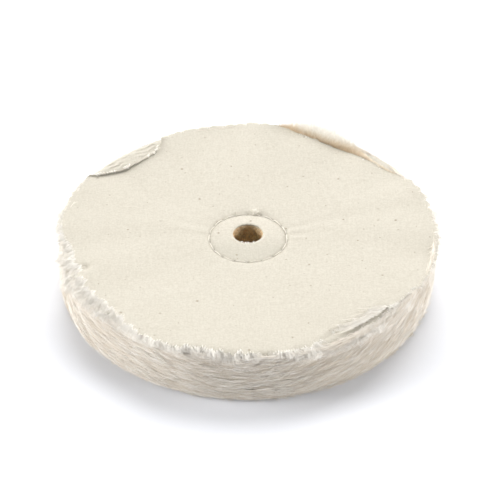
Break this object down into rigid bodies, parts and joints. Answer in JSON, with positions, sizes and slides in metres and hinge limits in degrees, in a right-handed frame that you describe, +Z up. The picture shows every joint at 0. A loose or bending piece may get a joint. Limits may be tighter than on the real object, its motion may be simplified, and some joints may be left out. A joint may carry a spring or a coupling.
{
  "type": "loose-leaf cloth polishing wheel",
  "caption": "Round polishing wheel of stacked loose cotton leaves with a frayed rim, held by one sewn ring about the arbor hole.",
  "frame": {"origin": "on the arbor hole's axis, at the level that the wheel rests on when it lies flat", "axes": "+Z up along the arbor hole's axis, through the stack of leaves; +X and +Y lie in the plane of the leaves, and the knot of the sewn ring is towards +Y"},
  "size_m": [0.2, 0.2, 0.0305],
  "materials": {
    "cotton_cloth": "unbleached plain-weave cotton with fine seed flecks, soft and matt, frayed at the rim",
    "cotton_thread": "twisted cotton sewing thread, matt"
  },
  "bodies": {
    "root": {"leaf_01": "cotton_cloth", "leaf_02": "cotton_cloth", "leaf_03": "cotton_cloth", "leaf_04": "cotton_cloth", "leaf_05": "cotton_cloth", "leaf_06": "cotton_cloth", "leaf_07": "cotton_cloth", "leaf_08": "cotton_cloth", "leaf_09": "cotton_cloth", "leaf_10": "cotton_cloth", "leaf_11": "cotton_cloth", "leaf_12": "cotton_cloth", "leaf_13": "cotton_cloth", "leaf_14": "cotton_cloth", "leaf_15": "cotton_cloth", "leaf_16": "cotton_cloth", "leaf_17": "cotton_cloth", "leaf_18": "cotton_cloth", "leaf_19": "cotton_cloth", "leaf_20": "cotton_cloth", "leaf_21": "cotton_cloth", "leaf_22": "cotton_cloth", "leaf_23": "cotton_cloth", "leaf_24": "cotton_cloth", "leaf_25": "cotton_cloth", "leaf_26": "cotton_cloth", "leaf_27": "cotton_cloth", "leaf_28": "cotton_cloth", "leaf_29": "cotton_cloth", "leaf_30": "cotton_cloth", "needle_thread": "cotton_thread", "bobbin_thread": "cotton_thread"}
  },
  "joints": []
}
